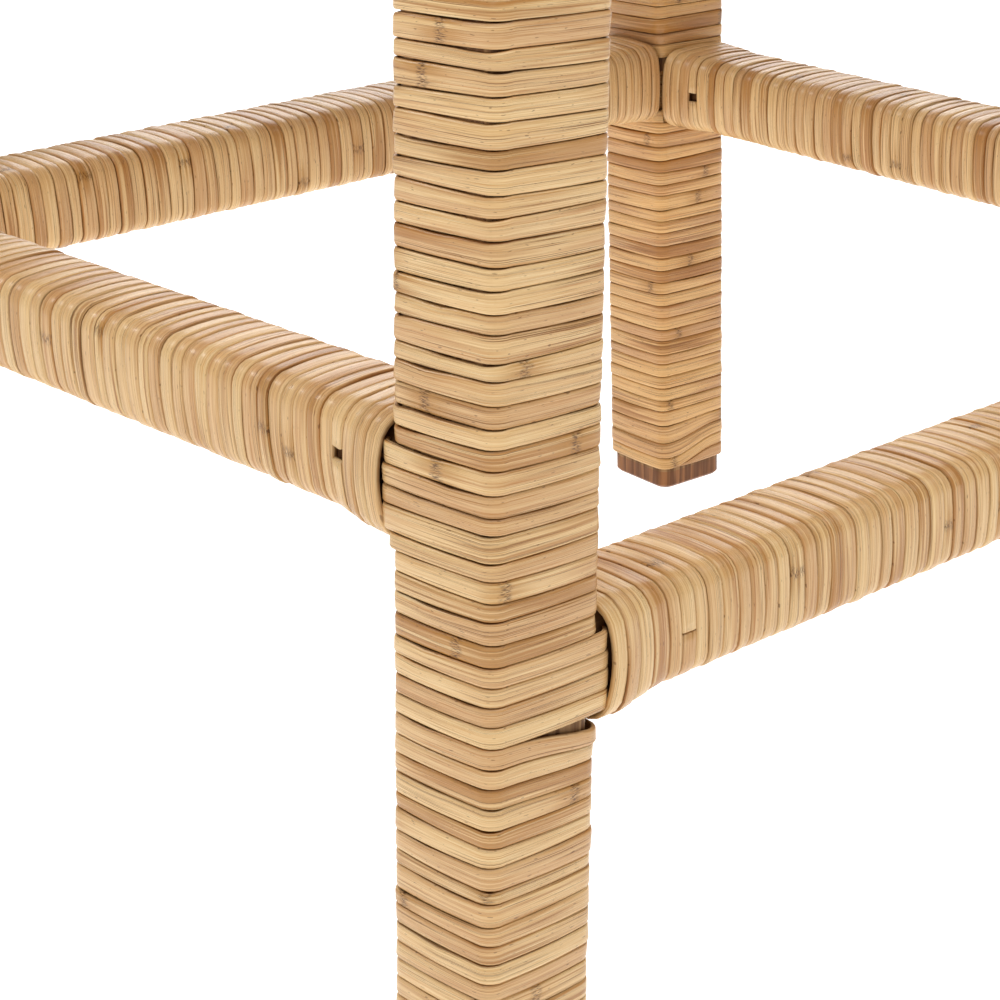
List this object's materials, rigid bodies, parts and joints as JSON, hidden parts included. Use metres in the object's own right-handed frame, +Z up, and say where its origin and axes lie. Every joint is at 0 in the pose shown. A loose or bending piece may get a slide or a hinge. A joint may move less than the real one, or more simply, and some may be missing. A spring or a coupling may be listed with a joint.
{
  "type": "bar stool",
  "caption": "Backless counter-height stool: square splayed legs, four foot rails and four seat rails of hardwood, all bound with rattan peel, with a woven rattan seat.",
  "frame": {"origin": "on the floor, under the centre of the stool's overall box", "axes": "+Z up; the front of the stool, with the low footrest, faces -Y; +X is to the right of a viewer standing in front of it"},
  "size_m": [0.5102, 0.418, 0.65],
  "materials": {
    "hardwood": "matt",
    "rattan_peel": "satin",
    "rattan_trim": "satin",
    "woven_rattan": "satin",
    "dark_foot_wood": "satin",
    "plywood": "matt",
    "screw_steel": "satin",
    "brass_brads": "satin"
  },
  "bodies": {
    "root": {"front_left_leg": "hardwood", "front_left_leg_binding": "rattan_peel", "front_left_leg_cap": "rattan_peel", "front_left_foot": "dark_foot_wood", "front_left_corner_block": "hardwood", "front_right_leg": "hardwood", "front_right_leg_binding": "rattan_peel", "front_right_leg_cap": "rattan_peel", "front_right_foot": "dark_foot_wood", "front_right_corner_block": "hardwood", "rear_left_leg": "hardwood", "rear_left_leg_binding": "rattan_peel", "rear_left_leg_cap": "rattan_peel", "rear_left_foot": "dark_foot_wood", "rear_left_corner_block": "hardwood", "rear_right_leg": "hardwood", "rear_right_leg_binding": "rattan_peel", "rear_right_leg_cap": "rattan_peel", "rear_right_foot": "dark_foot_wood", "rear_right_corner_block": "hardwood", "front_stretcher": "hardwood", "front_stretcher_binding": "rattan_peel", "front_seat_rail": "hardwood", "front_seat_rail_binding": "rattan_peel", "front_seat_trim": "rattan_trim", "rear_stretcher": "hardwood", "rear_stretcher_binding": "rattan_peel", "rear_seat_rail": "hardwood", "rear_seat_rail_binding": "rattan_peel", "rear_seat_trim": "rattan_trim", "left_stretcher": "hardwood", "left_stretcher_binding": "rattan_peel", "left_seat_rail": "hardwood", "left_seat_rail_binding": "rattan_peel", "left_seat_trim": "rattan_trim", "right_stretcher": "hardwood", "right_stretcher_binding": "rattan_peel", "right_seat_rail": "hardwood", "right_seat_rail_binding": "rattan_peel", "right_seat_trim": "rattan_trim", "seat_board": "plywood", "woven_seat": "woven_rattan", "stretcher_screws": "screw_steel", "seat_rail_screws": "screw_steel", "corner_block_screws": "screw_steel", "board_screws": "screw_steel", "leg_lag_screws": "screw_steel", "trim_brads": "brass_brads"}
  },
  "joints": []
}
